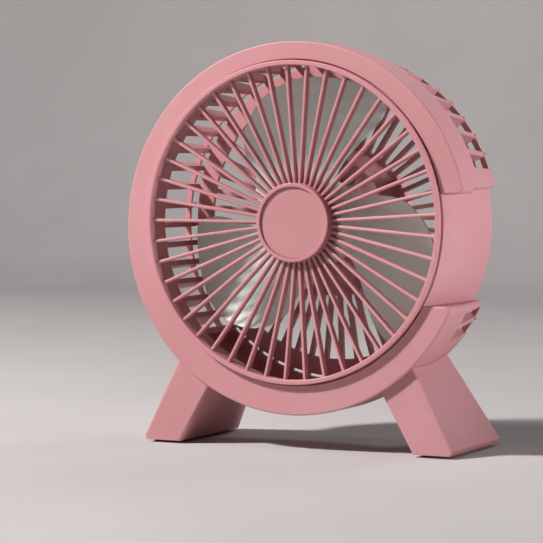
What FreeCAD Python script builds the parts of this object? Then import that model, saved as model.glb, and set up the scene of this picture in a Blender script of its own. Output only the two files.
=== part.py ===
import FreeCAD, Part
import math
import os

os.makedirs("parts", exist_ok=True)
V = FreeCAD.Vector

# ---------------------------------------------------------------- frame
# mm.  +X to the fan's left-hand side as seen from behind (right in a front
# view), +Y from the front grille to the back, +Z up.  The origin is under
# the middle of the drum, on the plane the foot pads stand on.
Z_AXIS = 128.5        # spin axis height
RING_DROP = 3.4       # drum shell centre sits this far below the spin axis
Z_RING = Z_AXIS - RING_DROP
Y0 = -38.5            # all depths below are measured from the ring plane

# ---------------------------------------------------------------- drum
R_OUT = 105.0         # outer radius of the drum
R_REAR = 100.0        # the drum tapers to this radius at its back
Y_FACE = 0.0          # front face of the ring
Y_SPLIT = 18.0        # parting line between front ring and rear shell
Y_WIN = 27.5          # front edge of the side vents
Y_FIN = 61.5          # rear end of the side fins
Y_REAR = 65.0         # rear face of the rear guard
WALL = 2.8
FACE_T = 3.2
R_BORE = 91.5         # opening in the front ring
R_RET = 93.7          # outside of the ring's inner return wall
R_FACE_RND = 0.9
BORE_RND = 0.6
CORNER_R = 3.0        # rounded corners where the recess cuts the ring
GROOVE_D = 0.4        # fine shut line behind the face's outer edge

# recess in the right-hand side
GAP_TOP = 16.8
GAP_TOP_REAR = 18.8
GAP_BOT = -44.6
PANEL_R0 = 92.2
PANEL_R1 = 96.6
END_T = 2.4

# fins and rear guard
N_FIN = 52
FIN_A0 = 2.0
FIN_T = 3.0
R_FIN_IN = 93.0
FIN_STEP = 360.0 / N_FIN
VENT_FROM = 17.6      # side vents run from here over the top ...
VENT_TO = 223.5       # ... to the left leg
LVENT_FROM = -38.3    # small vent above the right leg
LVENT_TO = -28.0
SPOKE_T = 2.4
BAND_R0 = 81.3
BAND_R1 = 91.6

# front grille
N_SPOKE = 45
SPOKE_A0 = 3.7
RIM_RO = 90.9
RIM_RI = 88.2
Y_RIM = -3.6          # the grille's rim stands proud of the face
LIP_RO = 22.4
LIP_RI = 20.2
Y_LIP = 0.8

# impeller
HUB_R = 25.0
TIP_R = 82.5
N_BLADE = 3
BLADE_T = 1.9
Y_BLADE_REAR = 42.0
Y_BLADE_FRONT = 21.0

# pod
POD_R = 42.0
POD_RF = 37.5         # the pod narrows to this radius at its front
Y_POD = 47.0
Y_POD_BACK = 80.0

# legs
LEG_Y = 3.5
LEG_FOOT_Z = 1.5
LEG_WALL = 2.5


def W(x, y, z):
    """point from axis-relative x, depth y, axis-relative z"""
    return V(x, y + Y0, z + Z_AXIS)


def cyl(r, y0, y1, x=0.0, z=0.0):
    return Part.makeCylinder(r, y1 - y0, W(x, y0, z), V(0, 1, 0))


def ring_cyl(r, y0, y1):
    return cyl(r, y0, y1, 0.0, -RING_DROP)


def revolve(pts, z=0.0, x=0.0):
    """closed profile of (r, y) points, or (r, y, 'arc', mr, my) entries"""
    edges = []
    n = len(pts)
    for i in range(n):
        a = pts[i]
        b = pts[(i + 1) % n]
        pa = W(x + a[0], a[1], z)
        pb = W(x + b[0], b[1], z)
        if len(b) > 2:
            pm = W(x + b[3], b[4], z)
            edges.append(Part.Arc(pa, pm, pb).toShape())
        else:
            edges.append(Part.makeLine(pa, pb))
    face = Part.Face(Part.Wire(edges))
    return face.revolve(W(x, 0, z), V(0, 1, 0), 360)


def poly_prism_y(pts, y0, y1):
    """(x, z) polygon extruded along Y"""
    p = [W(a, y0, b) for a, b in pts]
    p.append(p[0])
    return Part.Face(Part.makePolygon(p)).extrude(V(0, y1 - y0, 0))


def poly_prism_x(pts, x0, x1):
    """(y, z) polygon extruded along X"""
    p = [W(x0, a, b) for a, b in pts]
    p.append(p[0])
    return Part.Face(Part.makePolygon(p)).extrude(V(x1 - x0, 0, 0))


def poly_prism_z(pts, z0, z1):
    """(x, y) polygon extruded along Z"""
    p = [W(a, b, z0) for a, b in pts]
    p.append(p[0])
    return Part.Face(Part.makePolygon(p)).extrude(V(0, 0, z1 - z0))


def box(x0, x1, y0, y1, z0, z1):
    return Part.makeBox(x1 - x0, y1 - y0, z1 - z0, W(x0, y0, z0))


def turn(shape, deg, z=0.0):
    """turn about the spin axis, counter-clockwise seen from the front"""
    s = shape.copy()
    s.rotate(W(0, 0, z), V(0, -1, 0), deg)
    return s


def rib(r0, r1, y0, y1, t):
    return box(r0, r1, y0, y1, -t / 2.0, t / 2.0)


def sector(a0, a1, r=160.0, y0=-20.0, y1=100.0):
    """angular wedge about the spin axis, a1 > a0"""
    n = max(2, int(math.ceil((a1 - a0) / 30.0)))
    pts = [(0.0, 0.0)]
    for i in range(n + 1):
        a = math.radians(a0 + (a1 - a0) * i / n)
        pts.append((r * math.cos(a), r * math.sin(a)))
    return poly_prism_y(pts, y0, y1)


def fuse_all(shapes):
    s = shapes[0].multiFuse(shapes[1:])
    s = s.removeSplitter()
    return s


def drum_r(deg, y, grow=0.0):
    """distance from the spin axis to the drum's outer surface"""
    r = R_OUT if y <= Y_WIN else R_OUT + (R_REAR - R_OUT) * (y - Y_WIN) / (Y_REAR - Y_WIN)
    r += grow
    c = math.radians(deg)
    return -RING_DROP * math.sin(c) + math.sqrt(r * r - (RING_DROP * math.cos(c)) ** 2)


def long_edges(shape, test, least=3.0):
    return [e for e in shape.Edges if e.Length > least and test(e.BoundBox)]


def rounded(shape, radius, edges, what):
    """fillet, or the plain shape where the fillet fails"""
    try:
        f = shape.makeFillet(radius, edges)
        if f.isValid() and len(f.Solids) == len(shape.Solids):
            return f
    except Exception as err:
        print("no rounding on", what, err)
        return shape
    print("no rounding on", what)
    return shape


def hexagon(af, y0, y1, x=0.0, z=0.0):
    r = af / math.sqrt(3.0)
    pts = [(x + r * math.cos(math.radians(60 * k)), z + r * math.sin(math.radians(60 * k))) for k in range(6)]
    return poly_prism_y(pts, y0, y1)


def save(name, shape):
    if shape.ShapeType == "Compound" and len(shape.Solids) == 1:
        shape = shape.Solids[0]
    shape.exportStep("parts/%s.step" % name)
    b = shape.BoundBox
    print("%-18s solids %d valid %s vol %.0f  x %.1f..%.1f y %.1f..%.1f z %.1f..%.1f" % (
        name, len(shape.Solids), shape.isValid(), shape.Volume,
        b.XMin, b.XMax, b.YMin, b.YMax, b.ZMin, b.ZMax))
    return shape


# ---------------------------------------------------------------- drum envelope
def envelope(grow=0.0, rear=Y_REAR):
    k = R_FACE_RND
    c = k * (1 - math.sqrt(0.5))
    ro = R_OUT + grow
    rr = R_REAR + grow
    return revolve([
        (0.0, Y_FACE - grow),
        (ro - k, Y_FACE - grow),
        (ro, Y_FACE - grow + k, "arc", ro - c, Y_FACE - grow + c),
        (ro, Y_WIN),
        (rr, rear),
        (0.0, rear)], z=-RING_DROP)


ENV = envelope()
gap_front = box(40, 130, -20, Y_SPLIT, GAP_BOT, GAP_TOP)
gap_rear = box(40, 130, Y_SPLIT, 90, GAP_BOT, GAP_TOP_REAR)
gap = gap_front.fuse(gap_rear)

# 1 front_bezel: flat annular face, outer wall, inner return wall
plain_drum = ring_cyl(R_OUT, Y_FACE, Y_SPLIT).cut(gap_front)
corner_edges = [e for e in plain_drum.Edges
                if e.BoundBox.YLength > 15 and e.BoundBox.XLength < 0.01 and e.BoundBox.ZLength < 0.01
                and e.BoundBox.XMin > 80]
print("corner edges", len(corner_edges))
body = rounded(plain_drum, CORNER_R, corner_edges, "ring corners")
front_edges = [e for e in body.Edges if e.BoundBox.YMax < Y_FACE + Y0 + 0.01
               and not (e.BoundBox.XMax < 41 + 0.01 and e.BoundBox.XMin > 39)]
body = rounded(body, R_FACE_RND, front_edges, "ring front edge")
# fine shut line that follows the outline just behind the face
groove = ring_cyl(R_OUT + 1, Y_FACE + 1.1, Y_FACE + 1.6).cut(ring_cyl(R_OUT - GROOVE_D, Y_FACE, Y_FACE + 3))
gz = []
for zz, sg in ((GAP_TOP, 1), (GAP_BOT, -1)):
    gz.append(box(R_BORE * 0.9, 130, Y_FACE + 1.1, Y_FACE + 1.6, min(zz, zz + sg * GROOVE_D), max(zz, zz + sg * GROOVE_D)))
for zz, sg in ((GAP_TOP, 1), (GAP_BOT, -1)):
    # corner arc of the shut line
    zc = zz + sg * CORNER_R
    xc = math.sqrt((R_OUT - CORNER_R) ** 2 - (zc + RING_DROP) ** 2)
    arc = cyl(CORNER_R + 2.5, Y_FACE + 1.1, Y_FACE + 1.6, xc, zc).cut(cyl(CORNER_R - GROOVE_D, Y_FACE, Y_FACE + 3, xc, zc))
    quad = box(xc, xc + 9, Y_FACE, Y_FACE + 3, min(zc, zc - sg * 9), max(zc, zc - sg * 9))
    gz.append(arc.common(quad))
body = body.cut(groove.multiFuse(gz))
flare = revolve([
    (0.0, -20.0), (R_BORE + BORE_RND, -20.0), (R_BORE + BORE_RND, Y_FACE),
    (R_BORE, Y_FACE + BORE_RND, "arc", R_BORE + BORE_RND * (1 - math.sin(math.radians(45))), Y_FACE + BORE_RND * (1 - math.cos(math.radians(45)))),
    (R_BORE, 40.0), (0.0, 40.0)])
body = body.cut(flare)
channel = ring_cyl(R_OUT - WALL, Y_FACE + FACE_T, 40).cut(cyl(R_RET, -20, 60))
ends = body.common(box(40, 130, -20, Y_SPLIT, GAP_TOP - 0.01, GAP_TOP + END_T)).fuse(
    body.common(box(40, 130, -20, Y_SPLIT, GAP_BOT - END_T, GAP_BOT + 0.01)))
bez = body.cut(channel)
ledge = cyl(R_BORE + 0.8, 2.1, 3.9).cut(cyl(89.6, 0.0, 5.0))
SCREW_A = [5.46 + FIN_STEP * k for k in (4, 12, 20, 28, 36, 45)]


def screw_r(a):
    lo = R_RET
    s = math.sin(math.radians(a))
    d = RING_DROP
    hi = -d * s + math.sqrt((R_OUT - WALL) ** 2 - (d * math.cos(math.radians(a))) ** 2)
    return 0.5 * (lo + hi)


bosses = []
for a in SCREW_A:
    r = screw_r(a)
    x, z = r * math.cos(math.radians(a)), r * math.sin(math.radians(a))
    bosses.append(cyl(2.7, Y_FACE + 1.0, Y_SPLIT, x, z))
bez = bez.multiFuse([ends, ledge] + bosses)
bez = bez.cut(gap_front)
holes = []
for a in SCREW_A:
    r = screw_r(a)
    x, z = r * math.cos(math.radians(a)), r * math.sin(math.radians(a))
    holes.append(cyl(1.25, 6.0, Y_SPLIT + 1, x, z))
bez = bez.cut(Part.makeCompound(holes)).common(body.fuse(cyl(R_BORE + 1, Y_FACE + 2, Y_SPLIT)))
bez = bez.removeSplitter()

# 2 rear_shell: tapered drum wall with fins between the side vents
outer_shell = envelope(0.0).cut(envelope(-WALL, Y_REAR + 5))
outer_shell = outer_shell.common(box(-130, 130, Y_SPLIT, Y_REAR, -130, 130))
lipband = outer_shell.common(box(-130, 130, Y_SPLIT, Y_WIN, -130, 130))
solid_arcs = []
for a0, a1 in ((5.0, VENT_FROM), (VENT_TO, 360 + LVENT_FROM), (LVENT_TO, -20.0)):
    solid_arcs.append(outer_shell.common(sector(a0, a1)))
flange = ENV.common(box(-130, 130, Y_SPLIT, Y_SPLIT + 2.5, -130, 130)).cut(cyl(R_BORE, 0, 60))
fins = []
for k in range(N_FIN):
    a = (FIN_A0 + FIN_STEP * k) % 360.0
    if a < VENT_FROM - 1 or (VENT_TO + 1 < a < 360 + LVENT_FROM - 1) or a > 360 + LVENT_TO + 1:
        continue
    fins.append(turn(rib(R_FIN_IN, 112.0, Y_SPLIT + 1, Y_FIN, FIN_T), a))
fin_set = Part.makeCompound(fins).common(ENV)
# side walls that close the solid blocks towards the vents
closers = []
for a in (VENT_FROM, VENT_TO, 360 + LVENT_FROM, 360 + LVENT_TO):
    off = FIN_T / 2.0
    sgn = 1 if a in (VENT_TO, 360 + LVENT_TO) else -1
    da = math.degrees(off / 99.0) * sgn
    closers.append(turn(rib(97.0 if a in (VENT_FROM, 360 + LVENT_TO) else R_FIN_IN, 112.0, Y_SPLIT + 1, Y_FIN, FIN_T), a + da).common(ENV))
end_solid = ENV.common(box(-130, 130, Y_SPLIT, Y_REAR, -130, 130)).cut(cyl(R_BORE, 0, Y_FIN)).cut(cyl(97.4, 0, 90))
end_solid = end_solid.fuse(ENV.common(box(-130, 130, Y_SPLIT, Y_FIN, -130, 130)).cut(cyl(R_BORE, 0, 90)))
end_top = end_solid.common(box(40, 130, Y_SPLIT, Y_REAR, GAP_TOP_REAR - 0.01, GAP_TOP_REAR + END_T))
end_bot = end_solid.common(box(40, 130, Y_SPLIT, Y_REAR, GAP_BOT - END_T, GAP_BOT + 0.01))
# rear skirt that closes the solid bottom towards the rear guard
skirt = ENV.common(box(-130, 130, Y_FIN - 2.2, Y_FIN, -130, 130)).cut(cyl(R_FIN_IN, 0, 90))
skirts = []
for a0, a1 in ((5.0, VENT_FROM), (VENT_TO, 360 + LVENT_FROM), (LVENT_TO, -20.0)):
    skirts.append(skirt.common(sector(a0, a1)))
shell = fuse_all([lipband] + solid_arcs + [flange] + fin_set.Solids + closers + [end_top, end_bot] + skirts)
shell = shell.cut(gap)
# rounded outer corners at the recess, front to back
plain_rear = ENV.common(box(-130, 130, Y_SPLIT, Y_REAR, -130, 130)).cut(gap_rear)
rear_edges = [e for e in plain_rear.Edges
              if e.BoundBox.YLength > 5 and e.BoundBox.ZLength < 0.01 and e.BoundBox.XMin > 80]
print("rear corner edges", len(rear_edges))
round_rear = rounded(plain_rear, CORNER_R, rear_edges, "rear corners")
shell = shell.common(round_rear)
sh = []
for a in SCREW_A:
    r = screw_r(a)
    x, z = r * math.cos(math.radians(a)), r * math.sin(math.radians(a))
    sh.append(cyl(1.5, Y_SPLIT - 1, Y_SPLIT + 4, x, z))
shell = shell.cut(Part.makeCompound(sh))

# 3 legs: outer form, then hollowed from below
LEG_OUT = [(72.5, -127.0), (94.2, -127.0), (96.2, -124.4), (63.5, -60.0), (42.7, -75.0)]


def leg_form(inset, top_gap):
    # inset polygon, all edges moved inward
    pts = LEG_OUT
    n = len(pts)
    cx = sum(p[0] for p in pts) / n
    cz = sum(p[1] for p in pts) / n
    lines = []
    for i in range(n):
        a, b = pts[i], pts[(i + 1) % n]
        dx, dz = b[0] - a[0], b[1] - a[1]
        L = math.hypot(dx, dz)
        nx, nz = -dz / L, dx / L
        if (cx - a[0]) * nx + (cz - a[1]) * nz < 0:
            nx, nz = -nx, -nz
        d = inset if i != 0 else -3.0 if inset > 0 else 0.0
        if i == 1 and inset > 0:
            d = inset
        lines.append((a[0] + nx * d, a[1] + nz * d, dx, dz))
    out = []
    for i in range(n):
        x1, z1, ux, uz = lines[i - 1]
        x2, z2, vx, vz = lines[i]
        den = ux * vz - uz * vx
        t = ((x2 - x1) * vz - (z2 - z1) * vx) / den
        out.append((x1 + ux * t, z1 + uz * t))
    zb = -131.0 if inset > 0 else -127.0
    y0 = LEG_Y + inset
    back = lambda z: 63.0 + (-88.0 - z) * 0.4026 - inset * 1.08
    prism = poly_prism_y(out, y0, 95.0)
    wedge = poly_prism_x([(y0 - 1, zb), (back(zb), zb), (back(-50.0), -50.0), (y0 - 1, -50.0)], 0, 130)
    return prism.common(wedge).cut(envelope(top_gap + 0.1))


def leg_shell():
    s = leg_form(0.0, 0.0)
    try:
        es = []
        for e in s.Edges:
            b = e.BoundBox
            if e.Length > 25 and b.YLength < 20 and b.ZLength > 15:
                es.append(e)
        f = s.makeFillet(1.6, es)
        if f.isValid() and len(f.Solids) == 1:
            s = f
    except Exception as err:
        print("leg fillet skipped", err)
    cav = leg_form(LEG_WALL, 3.2)
    return s, cav


leg_s, leg_c = leg_shell()
leg_solid = leg_s
leg_r = leg_s.cut(leg_c)
# bosses for the two radial screws that hold the leg to the drum
LEG_A = -53.0
LSC_Y = (10.5, 44.0)
SEAT_R = 98.4         # flat seats for the leg screw heads, from the drum centre


def radial_cyl(r, d0, d1, a, y):
    """cylinder along a ring radius from distance d0 to d1"""
    c = math.radians(a)
    p = W(d0 * math.cos(c), y, -RING_DROP + d0 * math.sin(c))
    return Part.makeCylinder(r, d1 - d0, p, V(math.cos(c), 0, math.sin(c)))


def wall_r(y):
    if y <= Y_WIN:
        return R_OUT
    return R_OUT + (R_REAR - R_OUT) * (y - Y_WIN) / (Y_REAR - Y_WIN)


lb = [radial_cyl(3.4, wall_r(y) - 3.0, wall_r(y) + 8.0, LEG_A, y).cut(envelope(0.1)).common(leg_solid) for y in LSC_Y]
leg_r = leg_r.multiFuse(lb)
# bosses for the base plate screws
LEG_BS = ((84.0, 14.0), (84.0, 62.0))
bb = [Part.makeCylinder(3.0, 22.0, W(x, y, -124.5), V(0, 0, 1)).common(leg_solid) for x, y in LEG_BS]
leg_r = leg_r.multiFuse(bb)
cut = [radial_cyl(1.25, wall_r(y) - 4, wall_r(y) + 6.9, LEG_A, y) for y in LSC_Y]
cut += [Part.makeCylinder(1.25, 9.0, W(x, y, -125.0), V(0, 0, 1)) for x, y in LEG_BS]
leg_r = leg_r.cut(Part.makeCompound(cut)).removeSplitter()
if leg_r.ShapeType == "Compound":
    leg_r = sorted(leg_r.Solids, key=lambda q: -q.Volume)[0]


def mirror(s):
    return s.mirror(V(0, 0, 0), V(1, 0, 0))


save("leg_right", leg_r)
save("leg_left", mirror(leg_r))

# 4 leg base plates
plate = leg_form(LEG_WALL + 0.15, 3.2).common(box(40, 130, 0, 100, -127.0, -124.5))
pc = [Part.makeCylinder(1.5, 9.0, W(x, y, -129.0), V(0, 0, 1)) for x, y in LEG_BS]
plate = plate.cut(Part.makeCompound(pc))

# 5 foot pads
pad = box(76.0, 93.0, 8.0, 74.0, -128.5, -127.0)
ed = [e for e in pad.Edges if e.BoundBox.ZLength > 1.0]
pad = pad.makeFillet(3.0, ed)
pads = [pad, mirror(pad)]
save("foot_pad_right", pad)
save("foot_pad_left", mirror(pad))

# 6 base screws, hidden over the pads
bs = []
for x, y in LEG_BS:
    s = Part.makeCylinder(1.2, 7.0, W(x, y, -124.5), V(0, 0, 1)).fuse(
        Part.makeCylinder(1.2, 2.6, W(x, y, -127.0), V(0, 0, 1)))
    h = Part.makeCone(2.4, 1.2, 1.4, W(x, y, -126.9), V(0, 0, 1))
    s = s.fuse(h).removeSplitter()
    bs += [s, mirror(s)]
sink = []
for x, y in LEG_BS:
    sink.append(Part.makeCone(2.5, 1.3, 1.45, W(x, y, -127.0), V(0, 0, 1)))
plate = plate.cut(Part.makeCompound(sink))
save("base_plate_right", plate)
save("base_plate_left", mirror(plate))
save("base_screws", Part.makeCompound(bs))

# holes for the leg screws in the drum wall, then the shell is done
hs = []
ls = []
seats = {0: [], 1: []}
for sx in (1, -1):
    for i, y in enumerate(LSC_Y):
        h = radial_cyl(1.5, 92.0, 108.0, LEG_A, y)
        q = radial_cyl(1.2, SEAT_R - 0.2, wall_r(y) + 6.4, LEG_A, y).fuse(
            radial_cyl(2.6, SEAT_R - 1.8, SEAT_R - 0.05, LEG_A, y)).removeSplitter()
        t = radial_cyl(3.8, SEAT_R, 110.0, LEG_A, y).common(ENV)
        if sx < 0:
            h, q, t = mirror(h), mirror(q), mirror(t)
        hs.append(h)
        ls.append(q)
        seats[i].append(t)
bez = bez.multiFuse(seats[0]).removeSplitter()
shell = shell.multiFuse(seats[1]).removeSplitter()
bez_final = bez.cut(Part.makeCompound(hs)).removeSplitter()
save("front_bezel", bez_final)
shell = shell.cut(Part.makeCompound(hs)).removeSplitter()
shell = save("rear_shell", shell)
save("leg_screws", Part.makeCompound(ls))

# 7 shell screws (front ring to rear shell)
ss = []
for a in SCREW_A:
    r = screw_r(a)
    x, z = r * math.cos(math.radians(a)), r * math.sin(math.radians(a))
    ss.append(cyl(1.2, 8.0, Y_SPLIT + 2.6, x, z).fuse(cyl(2.2, Y_SPLIT + 2.5, Y_SPLIT + 4.1, x, z)).removeSplitter())
save("shell_screws", Part.makeCompound(ss))

# 8 recess panel
panel = revolve([(91.05, -0.6), (PANEL_R0, -0.6), (PANEL_R1, Y_FIN), (PANEL_R1 - 2.0, Y_FIN), (91.05, 10.0)])
panel = panel.common(gap)
panel = panel.common(box(40, 130, -20, Y_FIN, GAP_BOT, GAP_TOP_REAR)).removeSplitter()
save("recess_panel", panel)

# 9 front grille
gr = [revolve([(RIM_RI, Y_RIM + 0.5), (RIM_RI + 0.5, Y_RIM, "arc", RIM_RI + 0.15, Y_RIM + 0.15), (RIM_RO - 0.5, Y_RIM),
               (RIM_RO, Y_RIM + 0.5, "arc", RIM_RO - 0.15, Y_RIM + 0.15), (RIM_RO, 2.0), (RIM_RI, 2.0)])]
hub = revolve([(LIP_RI, Y_LIP), (LIP_RO - 0.6, Y_LIP),
               (LIP_RO, Y_LIP + 0.6, "arc", LIP_RO - 0.18, Y_LIP + 0.18),
               (LIP_RO, 10.0), (LIP_RI - 0.6, 10.0), (LIP_RI - 0.6, 4.2), (LIP_RI - 2.6, 4.2),
               (LIP_RI - 2.6, 3.2), (LIP_RI, 3.2)])
gr.append(hub)
for k in range(N_SPOKE):
    t = 1.8
    p = [W(LIP_RO - 1.0, 5.6, -t / 2), W(RIM_RI + 0.8, -1.2, -t / 2), W(RIM_RI + 0.8, 1.0, -t / 2),
         W(RIM_RI - 3.0, 3.0, -t / 2), W(LIP_RO - 1.0, 9.6, -t / 2)]
    p.append(p[0])
    s = Part.Face(Part.makePolygon(p)).extrude(V(0, 0, t))
    es = [e for e in s.Edges if e.BoundBox.XLength > 50 and e.BoundBox.ZLength < 0.01 and e.BoundBox.YMin < Y0 + 0.5]
    s = rounded(s, 0.6, es, "spoke")
    gr.append(turn(s, SPOKE_A0 + 8.0 * k))
grille = gr[0].multiFuse(gr[1:]).removeSplitter()
save("front_grille", grille)
cap = revolve([(0, 2.0), (LIP_RI - 0.15, 2.0), (LIP_RI - 0.15, 3.2), (LIP_RI - 2.75, 3.2), (LIP_RI - 2.75, 4.6), (0, 4.6)])
save("hub_cap", cap)

# 10 rear guard: rim, band, spokes and the ring that holds the pod
rim = envelope(-0.4, Y_REAR).cut(ring_cyl(97.0, 0, 90)).common(box(-130, 130, Y_FIN, Y_REAR - 1.6, -130, 130))
band = cyl(BAND_R1, Y_FIN, Y_REAR - 1.2).cut(cyl(BAND_R0, 0, 90))
pring = cyl(POD_R + 2.4, Y_FIN, Y_REAR).cut(cyl(POD_R + 0.1, 0, 90))
rg = [rim, band, pring]
for k in range(N_FIN):
    a = FIN_A0 + FIN_STEP * k
    ro = drum_r(a, Y_REAR, 0.9)
    f = rib(POD_R + 1.2, ro, Y_FIN, Y_REAR, SPOKE_T)
    es = [e for e in f.Edges if e.BoundBox.XMin > ro - 0.01 and e.BoundBox.YLength > 3]
    f = rounded(f, 1.0, es, "guard tip")
    rg.append(turn(f, a))
guard = rg[0].multiFuse(rg[1:])
trim = gap.cut(cyl(PANEL_R1 - 1.2, -20, 100))
for a0, a1 in ((8.0, VENT_FROM + 0.2), (VENT_TO - 0.2, 360 + LVENT_FROM + 0.2), (LVENT_TO - 0.2, -20.0)):
    trim = trim.fuse(sector(a0, a1).cut(ring_cyl(97.0, -30, 110)))
guard = guard.cut(trim).removeSplitter()
guard = save("rear_guard", guard)

# 11 motor pod: cup that holds the cells, with a flange behind the guard ring
pod = revolve([(0, Y_POD), (POD_RF - 1.5, Y_POD), (POD_RF, Y_POD + 1.5, "arc", POD_RF - 0.44, Y_POD + 0.44),
               (POD_R + 0.4, Y_FIN - 0.6), (POD_R + 1.6, Y_FIN - 0.6), (POD_R + 1.6, Y_FIN), (POD_R, Y_FIN), (POD_R, Y_REAR), (0, Y_REAR)])
pod = pod.cut(revolve([(0, Y_POD + 2.2), (POD_RF - 2.0, Y_POD + 2.2), (POD_R - 2.4, Y_FIN - 0.6), (POD_R - 2.4, Y_REAR + 1), (0, Y_REAR + 1)]))
POD_A = (45, 135, 225, 315)
POD_SR = 36.6
pb = []
ph = []
for a in POD_A:
    x, z = POD_SR * math.cos(math.radians(a)), POD_SR * math.sin(math.radians(a))
    pb.append(cyl(3.2, 53.0, Y_REAR, x, z))
    ph.append(cyl(1.25, 54.5, Y_REAR + 1, x, z))
pod = pod.multiFuse(pb).cut(Part.makeCompound(ph))
MS_R = 10.5
mh = [cyl(5.6, 40, 60)]
for a in (90, 210, 330):
    x, z = MS_R * math.cos(math.radians(a)), MS_R * math.sin(math.radians(a))
    mh.append(cyl(1.3, 40, 60, x, z))
    mh.append(cyl(2.3, 48.2, 60, x, z))
pod = pod.cut(Part.makeCompound(mh)).removeSplitter()
save("motor_pod", pod)

# 12 pod cover, with the button bore, port slot, light holes and screw holes
BTN_Z = -27.0
cv = revolve([(0, Y_REAR), (POD_R, Y_REAR), (POD_R, Y_POD_BACK - 3.0),
              (POD_R - 3.0, Y_POD_BACK, "arc", POD_R - 0.88, Y_POD_BACK - 0.88), (0, Y_POD_BACK)])
cv = cv.cut(revolve([(0, Y_REAR - 1), (POD_R - 2.4, Y_REAR - 1), (POD_R - 2.4, Y_POD_BACK - 3.6),
                     (POD_R - 3.8, Y_POD_BACK - 2.3), (0, Y_POD_BACK - 2.3)]))
cb, ch = [], []
for a in POD_A:
    x, z = POD_SR * math.cos(math.radians(a)), POD_SR * math.sin(math.radians(a))
    cb.append(cyl(3.2, Y_REAR, Y_POD_BACK - 1, x, z))
    ch.append(cyl(1.4, Y_REAR - 1, Y_POD_BACK + 1, x, z))
    ch.append(cyl(2.6, Y_POD_BACK - 2.0, Y_POD_BACK + 1, x, z))
ch.append(cyl(6.55, 60, 90, 0, BTN_Z))
USB_Z = 27.0
slot = box(-3.0, 3.0, 60, 90, USB_Z - 1.65, USB_Z + 1.65).fuse(cyl(1.65, 60, 90, -3.0, USB_Z)).fuse(cyl(1.65, 60, 90, 3.0, USB_Z))
ch.append(slot)
LED_X = (-9.0, -3.0, 3.0, 9.0)
for x in LED_X:
    ch.append(cyl(1.0, 60, 90, x, 17.0))
for i in range(5):
    for sx in (-1, 1):
        zz = -12.0 + 6.0 * i
        ch.append(box(sx * 22.0 - 7.0, sx * 22.0 + 7.0, 76, 90, zz - 0.9, zz + 0.9))
cover = cv.multiFuse(cb).cut(fuse_all(ch)).removeSplitter()
save("pod_cover", cover)
ps = []
for a in POD_A:
    x, z = POD_SR * math.cos(math.radians(a)), POD_SR * math.sin(math.radians(a))
    s = cyl(1.2, 55.5, Y_POD_BACK - 2.0, x, z).fuse(cyl(2.4, Y_POD_BACK - 2.0, Y_POD_BACK - 0.6, x, z))
    s = s.cut(box(x - 1.6, x + 1.6, Y_POD_BACK - 1.3, Y_POD_BACK, z - 0.3, z + 0.3)).cut(
        box(x - 0.3, x + 0.3, Y_POD_BACK - 1.3, Y_POD_BACK, z - 1.6, z + 1.6))
    ps.append(s)
save("pod_screws", Part.makeCompound(ps))

# 13 power button, stem towards the switch
button = revolve([(0, 72.2), (1.6, 72.2), (1.6, 76.4), (7.9, 76.4), (7.9, 77.6), (6.4, 77.6), (6.4, 80.0),
                  (5.8, 80.6, "arc", 6.22, 80.42), (4.2, 80.2), (0, 80.0)], z=BTN_Z)
save("power_button", button)

# 14 electronics behind the cells
brd = cyl(38.6, 68.6, 70.2).cut(fuse_all([cyl(3.6, 60, 80, POD_SR * math.cos(math.radians(a)), POD_SR * math.sin(math.radians(a))) for a in POD_A]))
save("main_board", brd)
sw = box(-3.0, 3.0, 70.2, 73.0 - 2.2, BTN_Z - 3.0, BTN_Z + 3.0)
sw = box(-3.0, 3.0, 70.2, 70.9, BTN_Z - 3.0, BTN_Z + 3.0).fuse(cyl(1.7, 70.9, 71.3, 0, BTN_Z)).removeSplitter()
save("tact_switch", sw)
u = box(-2.85, 2.85, 70.2, 79.2, USB_Z - 1.55, USB_Z + 1.55).fuse(cyl(1.55, 70.2, 79.2, -2.85, USB_Z)).fuse(cyl(1.55, 70.2, 79.2, 2.85, USB_Z)).removeSplitter()
ui = box(-2.85, 2.85, 72.2, 80.0, USB_Z - 1.25, USB_Z + 1.25).fuse(cyl(1.25, 72.2, 80.0, -2.85, USB_Z)).fuse(cyl(1.25, 72.2, 80.0, 2.85, USB_Z)).removeSplitter()
ut = box(-2.6, 2.6, 71.8, 78.4, USB_Z - 0.35, USB_Z + 0.35)
save("usb_c_port", u.cut(ui).fuse(ut).removeSplitter())
lp = [cyl(0.95, 70.2, 79.9, x, 17.0) for x in LED_X]
save("light_pipes", Part.makeCompound(lp))

# 15 cells and tray
cells = {}
for nm, z in (("cell_upper", 9.4), ("cell_lower", -9.4)):
    c = Part.makeCylinder(9.0, 63.6, W(-32.2, 58.4, z), V(1, 0, 0))
    c = c.fuse(Part.makeCylinder(2.8, 1.2, W(31.2, 58.4, z), V(1, 0, 0))).removeSplitter()
    save(nm, c)
tray = box(-34.3, 34.3, 49.5, 53.5, -4.5, 4.5).multiFuse([
    box(-34.3, 34.3, 63.2, 67.2, -4.5, 4.5), box(-34.3, -33.0, 49.5, 67.2, -4.5, 4.5), box(33.0, 34.3, 49.5, 67.2, -4.5, 4.5)])
for z in (9.4, -9.4):
    tray = tray.cut(Part.makeCylinder(9.15, 65.0, W(-32.4, 58.4, z), V(1, 0, 0)))
tray = tray.removeSplitter()
save("cell_tray", tray)

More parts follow.
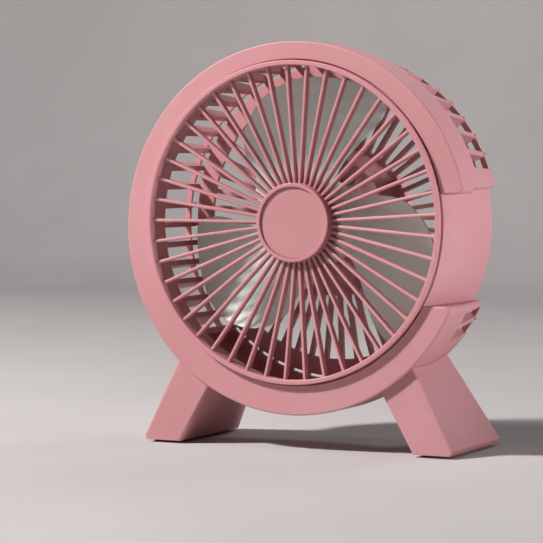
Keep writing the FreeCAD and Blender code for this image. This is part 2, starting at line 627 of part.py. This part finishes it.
# 16 motor: base with bearing tube, bearings, stator, coils, board
base = revolve([(4.0, 20.0), (5.4, 20.0), (5.4, 43.6), (14.0, 43.6), (14.0, 47.0), (5.4, 47.0), (5.4, 48.4), (4.0, 48.4)])
bh = []
for a in (90, 210, 330):
    x, z = MS_R * math.cos(math.radians(a)), MS_R * math.sin(math.radians(a))
    bh.append(cyl(1.25, 42, 48, x, z))
base = base.cut(Part.makeCompound(bh)).removeSplitter()
save("motor_base", base)
ms = []
for a in (90, 210, 330):
    x, z = MS_R * math.cos(math.radians(a)), MS_R * math.sin(math.radians(a))
    ms.append(cyl(1.2, 44.2, 48.3, x, z).fuse(cyl(2.1, 48.25, 49.1, x, z)).removeSplitter())
save("motor_screws", Part.makeCompound(ms))


def bearing(y0):
    return revolve([(1.56, y0), (3.98, y0), (3.98, y0 + 4.0), (1.56, y0 + 4.0)])


save("bearing_front", bearing(20.5))
save("bearing_rear", bearing(38.0))

NP = 9
core = [cyl(8.2, 23.0, 32.0)]
for k in range(NP):
    a = 90 + 40.0 * k
    core.append(turn(rib(7.0, 15.2, 23.0, 32.0, 2.6), a))
    shoe = cyl(16.4, 23.0, 32.0).cut(cyl(15.0, 0, 60)).common(sector(-15.5, 15.5, 30))
    core.append(turn(shoe, a))
core = core[0].multiFuse(core[1:]).cut(cyl(5.43, 0, 60)).removeSplitter()
save("stator_core", core)
coils = []
for k in range(NP):
    a = 90 + 40.0 * k
    c = box(9.2, 14.4, 22.0, 33.0, -2.3, 2.3).cut(box(5, 20, 22.97, 32.03, -1.33, 1.33))
    c = c.common(sector(-18.5, 18.5, 30))
    coils.append(turn(c, a))
save("stator_coils", Part.makeCompound(coils))
db = cyl(17.0, 35.4, 36.8).cut(cyl(5.45, 0, 60))
save("driver_board", db)

# 17 rotor: bell, magnets, shaft, clip, nut
bell = revolve([(1.52, 15.0), (19.4, 15.0), (20.2, 15.8), (20.2, 34.6), (19.0, 34.6), (19.0, 16.4), (3.4, 16.4), (3.4, 19.4), (1.52, 19.4)])
save("rotor_bell", bell)
mag = cyl(18.97, 21.5, 33.5).cut(cyl(17.3, 0, 60))
save("magnet_ring", mag)
shaft = revolve([(0, 10.0), (1.2, 10.0), (1.5, 10.4), (1.5, 42.3), (1.1, 42.3), (1.1, 42.9), (1.5, 42.9), (1.5, 44.4), (0, 44.4)])
save("motor_shaft", shaft)
clip = revolve([(1.13, 42.33), (3.2, 42.33), (3.2, 42.87), (1.13, 42.87)])
clip = clip.cut(box(0, 6, 42, 43.2, -0.8, 0.8)).removeSplitter()
save("shaft_clip", clip)
nut = hexagon(6.0, 10.7, 12.5).cut(cyl(1.52, 0, 60)).removeSplitter()
save("rotor_nut", nut)

# 18 impeller: cup hub and three broad twisted blades
hubc = revolve([(1.52, 12.5), (HUB_R - 2.5, 12.5), (HUB_R, 15.0, "arc", HUB_R - 0.73, 13.23), (HUB_R, 43.0), (HUB_R - 2.0, 43.0),
                (HUB_R - 2.0, 30.0), (20.26, 30.0), (20.26, 15.0), (1.52, 15.0)])

# blade outline, radius as a share of the drum radius and angle, front view
CW = ((0.225, 73.5), (0.25, 72.0), (0.33, 69.0), (0.40, 66.0), (0.49, 62.0), (0.57, 59.5), (0.65, 58.5), (0.71, 59.0), (0.765, 60.5), (0.786, 65.0))
CCW = ((0.225, 160.0), (0.34, 155.0), (0.38, 144.0), (0.47, 138.0), (0.56, 133.0), (0.62, 127.5), (0.68, 120.0), (0.73, 112.0), (0.765, 104.0), (0.786, 92.0))


def lin(tab, r):
    if r <= tab[0][0]:
        return tab[0][1]
    for (r0, a0), (r1, a1) in zip(tab, tab[1:]):
        if r <= r1:
            return a0 + (a1 - a0) * (r - r0) / (r1 - r0)
    return tab[-1][1]


CWS = ((0.20, 74.5), (0.33, 69.0), (0.45, 64.0), (0.57, 59.5), (0.68, 57.5), (0.80, 57.0))
CCWS = ((0.20, 158.0), (0.34, 150.0), (0.45, 140.0), (0.56, 133.0), (0.68, 122.0), (0.80, 112.0))


def blade_y(r, a):
    """depth of the blade's front surface"""
    a0, a1 = lin(CWS, r), lin(CCWS, r)
    t = (a - a0) / (a1 - a0)
    yr = Y_BLADE_REAR - BLADE_T + 6.0 * min(max((r - 0.40) / 0.386, 0.0), 1.1) ** 1.5
    return yr + (Y_BLADE_FRONT - yr) * t + 2.2 * math.sin(math.pi * min(max(t, 0), 1))


def blade():
    rs = [0.20 + 0.62 * i / 8.0 for i in range(9)]
    rows = []
    for r in rs:
        row = []
        a0, a1 = lin(CWS, r) - 6.0, lin(CCWS, r) + 6.0
        for j in range(11):
            a = a0 + (a1 - a0) * j / 10.0
            c = math.radians(a)
            row.append(W(r * R_OUT * math.cos(c), blade_y(r, a), r * R_OUT * math.sin(c)))
        rows.append(row)
    surf = Part.BSplineSurface()
    surf.interpolate(rows)
    slab = surf.toShape().extrude(V(0, BLADE_T, 0))
    cw = [V(r * R_OUT * math.cos(math.radians(a)), 0, r * R_OUT * math.sin(math.radians(a))) for r, a in CW]
    ccw = [V(r * R_OUT * math.cos(math.radians(a)), 0, r * R_OUT * math.sin(math.radians(a))) for r, a in CCW]
    off = W(0, 0, 0)
    cw = [p + off for p in cw]
    ccw = [p + off for p in ccw]
    e1 = Part.BSplineCurve()
    e1.interpolate(cw)
    e3 = Part.BSplineCurve()
    e3.interpolate(list(reversed(ccw)))
    am = math.radians(78.5)
    mid = V(0.786 * R_OUT * math.cos(am), 0, 0.786 * R_OUT * math.sin(am)) + off
    e2 = Part.Arc(cw[-1], mid, ccw[-1])
    e4 = Part.LineSegment(ccw[0], cw[0])
    wire = Part.Wire([e1.toShape(), e2.toShape(), e3.toShape(), e4.toShape()])
    prism = Part.Face(wire).extrude(V(0, 90, 0))
    b = slab.common(prism)
    return b


b0 = blade()
print("blade", b0.ShapeType, len(b0.Solids), b0.isValid(), b0.Volume)
core_cyl = cyl(HUB_R - 1.0, 0, 90)
blades = [turn(b0, -120.0 * k).cut(core_cyl) for k in range(N_BLADE)]
imp = hubc.multiFuse(blades)
imp = save("impeller", imp)
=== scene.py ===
import bpy
import bmesh
import math
from mathutils import Matrix, Vector

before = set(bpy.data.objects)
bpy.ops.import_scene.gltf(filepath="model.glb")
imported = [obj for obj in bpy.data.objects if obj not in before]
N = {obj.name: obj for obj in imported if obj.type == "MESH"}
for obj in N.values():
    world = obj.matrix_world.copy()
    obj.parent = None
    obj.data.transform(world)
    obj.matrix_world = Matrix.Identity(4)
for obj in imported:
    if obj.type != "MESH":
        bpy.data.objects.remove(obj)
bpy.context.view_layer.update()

# ------------------------------------------------------------------ colour
def srgb(r, g, b):
    def f(c):
        c /= 255.0
        return c / 12.92 if c <= 0.04045 else ((c + 0.055) / 1.055) ** 2.4
    return (f(r), f(g), f(b), 1.0)


class Mat:
    """small helper around one node material"""

    def __init__(self, name):
        self.m = bpy.data.materials.new(name)
        self.m.use_nodes = True
        self.t = self.m.node_tree
        self.n = self.t.nodes
        self.l = self.t.links
        self.p = self.n["Principled BSDF"]
        self.tc = self.n.new("ShaderNodeTexCoord")

    def set(self, **kw):
        for k, v in kw.items():
            self.p.inputs[k.replace("_", " ")].default_value = v
        return self

    def noise(self, scale, detail=3.0, rough=0.5, src=None, stretch=None):
        x = self.n.new("ShaderNodeTexNoise")
        x.inputs["Scale"].default_value = scale
        x.inputs["Detail"].default_value = detail
        x.inputs["Roughness"].default_value = rough
        out = src or self.tc.outputs["Object"]
        if stretch:
            mp = self.n.new("ShaderNodeMapping")
            mp.inputs["Scale"].default_value = stretch
            self.l.new(out, mp.inputs["Vector"])
            out = mp.outputs["Vector"]
        self.l.new(out, x.inputs["Vector"])
        return x.outputs["Fac"]

    def ramp(self, fac, stops):
        r = self.n.new("ShaderNodeValToRGB")
        e = r.color_ramp.elements
        e[0].position, e[0].color = stops[0]
        e[1].position, e[1].color = stops[-1]
        for p, c in stops[1:-1]:
            k = e.new(p)
            k.color = c
        self.l.new(fac, r.inputs["Fac"])
        return r.outputs["Color"]

    def mix(self, fac, a, b, mode="MIX"):
        m = self.n.new("ShaderNodeMix")
        m.data_type = "RGBA"
        m.blend_type = mode
        for key, v in (("Factor", fac), ("A", a), ("B", b)):
            sock = [s for s in m.inputs if s.name == key and (s.type == "RGBA" or (key == "Factor" and s.type == "VALUE"))][0]
            if hasattr(v, "is_linked"):
                self.l.new(v, sock)
            else:
                sock.default_value = v
        return [s for s in m.outputs if s.type == "RGBA"][0]

    def math(self, op, a, b=0.0, clamp=False):
        m = self.n.new("ShaderNodeMath")
        m.operation = op
        m.use_clamp = clamp
        for i, v in enumerate((a, b)):
            if hasattr(v, "is_linked"):
                self.l.new(v, m.inputs[i])
            else:
                m.inputs[i].default_value = v
        return m.outputs[0]

    def maprange(self, v, a, b, c, d):
        m = self.n.new("ShaderNodeMapRange")
        self.l.new(v, m.inputs["Value"])
        for k, x in zip(("From Min", "From Max", "To Min", "To Max"), (a, b, c, d)):
            m.inputs[k].default_value = x
        return m.outputs["Result"]

    def color(self, c):
        self.l.new(c, self.p.inputs["Base Color"])
        return self

    def rough(self, c):
        self.l.new(c, self.p.inputs["Roughness"])
        return self

    def bump(self, h, strength, dist, prev=None):
        b = self.n.new("ShaderNodeBump")
        b.inputs["Strength"].default_value = strength
        b.inputs["Distance"].default_value = dist
        self.l.new(h, b.inputs["Height"])
        if prev is not None:
            self.l.new(prev, b.inputs["Normal"])
        self.l.new(b.outputs["Normal"], self.p.inputs["Normal"])
        return b.outputs["Normal"]


def moulded(name, base, light, dark, rough=0.5, grain=1.0, spec=0.35, round_r=0.0005):
    """fine-grained moulded plastic: soft mottling, spark-eroded grain whose high spots are lighter and rougher,
    darker mid-scale specks
    """
    m = Mat(name)
    soft = m.noise(9.0, 2.0)
    fine = m.noise(2600.0, 3.0, 0.6)
    mid = m.noise(160.0, 4.0, 0.55)
    c1 = m.ramp(soft, [(0.30, dark), (0.5, base), (0.72, light)])
    c2 = m.mix(m.maprange(fine, 0.3, 0.7, 0.0, 0.22), c1, light)
    c3 = m.mix(m.maprange(mid, 0.35, 0.65, 0.0, 0.10), c2, dark)
    m.color(c3)
    r = m.math("ADD", m.maprange(fine, 0.3, 0.7, rough - 0.05, rough + 0.06), m.maprange(mid, 0.3, 0.7, -0.03, 0.03))
    m.rough(r)
    m.set(Specular_IOR_Level=spec, IOR=1.5)
    edge = m.n.new("ShaderNodeBevel")
    edge.samples = 6
    edge.inputs["Radius"].default_value = round_r
    b = m.bump(fine, 0.16 * grain, 0.00006, edge.outputs["Normal"])
    m.bump(mid, 0.05 * grain, 0.0004, b)
    return m.m


def metal(name, base, dark, rough=0.35, stretch=None):
    m = Mat(name)
    f = m.noise(900.0, 4.0, 0.6, stretch=stretch or (1, 1, 12))
    g = m.noise(60.0, 3.0)
    m.color(m.mix(m.maprange(f, 0.3, 0.7, 0.0, 1.0), base, dark))
    m.rough(m.math("ADD", m.maprange(f, 0.3, 0.7, rough - 0.08, rough + 0.08), m.maprange(g, 0.3, 0.7, -0.05, 0.05)))
    m.set(Metallic=1.0)
    m.bump(f, 0.1, 0.00005)
    return m.m


PINK = srgb(192, 134, 138)
PINK_L = srgb(198, 143, 147)
PINK_D = srgb(185, 126, 130)
shell_mat = moulded("shell_pink", PINK, PINK_L, PINK_D, 0.52)
grille_mat = moulded("grille_pink", srgb(194, 133, 137), srgb(201, 144, 148), srgb(186, 125, 129), 0.42, 0.6, 0.4)
blade_mat = moulded("blade_grey", srgb(216, 237, 230), srgb(225, 242, 236), srgb(206, 229, 221), 0.33, 0.4, 0.5)
button_mat = moulded("button_pink", srgb(224, 158, 162), srgb(230, 168, 172), srgb(216, 150, 154), 0.4, 0.5, 0.45)
pad_mat = moulded("pad_rubber", srgb(120, 84, 86), srgb(130, 92, 94), srgb(108, 74, 76), 0.8, 1.4, 0.2)
dark_mat = moulded("black_plastic", srgb(34, 34, 36), srgb(42, 42, 44), srgb(26, 26, 28), 0.5, 0.8, 0.35)
lens_mat = moulded("light_pipe", srgb(232, 232, 226), srgb(240, 240, 236), srgb(222, 222, 216), 0.2, 0.2, 0.5)
board_mat = moulded("circuit_board", srgb(24, 92, 52), srgb(36, 110, 64), srgb(16, 74, 40), 0.35, 0.5, 0.5)
sleeve_mat = moulded("cell_sleeve", srgb(52, 92, 132), srgb(64, 106, 148), srgb(42, 78, 116), 0.3, 0.3, 0.5)
magnet_mat = moulded("magnet", srgb(40, 40, 42), srgb(52, 52, 54), srgb(30, 30, 32), 0.55, 1.0, 0.3)
screw_mat = metal("zinc_screw", srgb(176, 178, 182), srgb(140, 142, 146), 0.32)
steel_mat = metal("turned_steel", srgb(190, 191, 194), srgb(150, 151, 155), 0.28)
alu_mat = metal("die_cast", srgb(198, 198, 200), srgb(168, 168, 171), 0.42, (1, 1, 1))
copper_mat = metal("coil_copper", srgb(196, 118, 72), srgb(160, 86, 46), 0.3, (1, 14, 1))

MATS = {
    "front_bezel": shell_mat, "rear_shell": shell_mat, "recess_panel": shell_mat, "front_grille": grille_mat,
    "hub_cap": shell_mat, "rear_guard": grille_mat, "motor_pod": shell_mat, "pod_cover": shell_mat,
    "pod_screws": screw_mat, "shell_screws": screw_mat, "leg_screws": screw_mat, "base_screws": screw_mat,
    "leg_right": shell_mat, "leg_left": shell_mat, "base_plate_right": shell_mat, "base_plate_left": shell_mat,
    "foot_pad_right": pad_mat, "foot_pad_left": pad_mat, "power_button": button_mat, "main_board": board_mat,
    "tact_switch": dark_mat, "usb_c_port": steel_mat, "light_pipes": lens_mat, "cell_upper": sleeve_mat,
    "cell_lower": sleeve_mat, "cell_tray": dark_mat, "motor_base": alu_mat, "motor_screws": screw_mat,
    "bearing_front": steel_mat, "bearing_rear": steel_mat, "stator_core": steel_mat, "stator_coils": copper_mat,
    "driver_board": board_mat, "rotor_bell": steel_mat, "magnet_ring": magnet_mat, "motor_shaft": steel_mat,
    "shaft_clip": steel_mat, "rotor_nut": steel_mat, "impeller": blade_mat,
}


def assign(obj, mat):
    if not obj.material_slots:
        obj.data.materials.append(mat)
    for s in obj.material_slots:
        s.link = "OBJECT"
        s.material = mat


for node, mat in MATS.items():
    assign(N[node], mat)


# ------------------------------------------------------------------ floor and backdrop
def stage_mesh(name, verts, faces, mat):
    me = bpy.data.meshes.new(name)
    me.from_pydata(verts, [], faces)
    ob = bpy.data.objects.new(name, me)
    bpy.context.scene.collection.objects.link(ob)
    me.materials.append(mat)
    for p in me.polygons:
        p.use_smooth = True
    return ob


floor_mat = Mat("floor_pale")
fn = floor_mat.noise(6.0, 3.0)
floor_mat.color(floor_mat.ramp(fn, [(0.3, srgb(184, 179, 179)), (0.7, srgb(190, 185, 185))]))
floor_mat.set(Roughness=0.85, Specular_IOR_Level=0.2)
prof = [(-3.0, 0.0), (1.3, 0.0)]
for i in range(1, 13):
    a = math.pi / 2 * i / 12
    prof.append((1.3 + 0.5 * math.sin(a), 0.5 - 0.5 * math.cos(a)))
prof.append((1.8, 3.0))
verts, faces = [], []
for x in (-4.0, 4.0):
    for y, z in prof:
        verts.append((x, y, z))
k = len(prof)
for i in range(k - 1):
    faces.append((i, i + 1, k + i + 1, k + i))
stage_mesh("floor", verts, faces, floor_mat.m)


# ------------------------------------------------------------------ light
def area(name, loc, target, size, power, color=(1, 1, 1), size_y=None):
    d = bpy.data.lights.new(name, "AREA")
    d.shape = "RECTANGLE"
    d.size = size
    d.size_y = size_y or size
    d.energy = power
    d.color = color
    o = bpy.data.objects.new(name, d)
    o.location = loc
    v = Vector(target) - Vector(loc)
    o.rotation_euler = v.to_track_quat("-Z", "Y").to_euler()
    bpy.context.scene.collection.objects.link(o)
    return o


def spot(name, loc, target, power, cone, blend, radius, color=(1, 1, 1)):
    d = bpy.data.lights.new(name, "SPOT")
    d.energy = power
    d.spot_size = math.radians(cone)
    d.spot_blend = blend
    d.shadow_soft_size = radius
    d.color = color
    o = bpy.data.objects.new(name, d)
    o.location = loc
    v = Vector(target) - Vector(loc)
    o.rotation_euler = v.to_track_quat("-Z", "Y").to_euler()
    bpy.context.scene.collection.objects.link(o)
    return o


area("key", (-1.25, -1.12, 1.52), (0, 0, 0.12), 0.22, 74.0, (1.0, 0.99, 0.975))
area("front_fill", (-0.3, -2.3, 0.45), (0, 0, 0.12), 0.9, 2.8, (1.0, 0.99, 0.99))
spot("side_soft", (1.60, 0.00, 0.24), (0.08, -0.005, 0.158), 200.0, 11.0, 0.9, 0.16, (0.97, 1.0, 1.03))
area("top_rim", (0.45, 0.85, 1.3), (0, 0, 0.15), 0.5, 4.0)
w = bpy.data.worlds.new("studio")
w.use_nodes = True
w.node_tree.nodes["Background"].inputs["Color"].default_value = (0.92, 0.94, 1.0, 1)
w.node_tree.nodes["Background"].inputs["Strength"].default_value = 0.05
bpy.context.scene.world = w
bpy.context.scene.view_settings.view_transform = "Standard"

# ------------------------------------------------------------------ camera
cam = bpy.data.cameras.new("cam")
cam.sensor_width = 36.0
cam.lens = 159.1
cam.clip_start = 0.05
co = bpy.data.objects.new("cam", cam)
right = Vector((0.8975, 0.4410, 0.0)).normalized()
fwd = Vector((-0.4405, 0.8964, -0.0492)).normalized()
up = right.cross(fwd).normalized()
right = fwd.cross(up).normalized()
m = Matrix((
    (right.x, up.x, -fwd.x, 0.5829),
    (right.y, up.y, -fwd.y, -1.2495),
    (right.z, up.z, -fwd.z, 0.1674),
    (0, 0, 0, 1)))
co.matrix_world = m
bpy.context.scene.collection.objects.link(co)
bpy.context.scene.camera = co
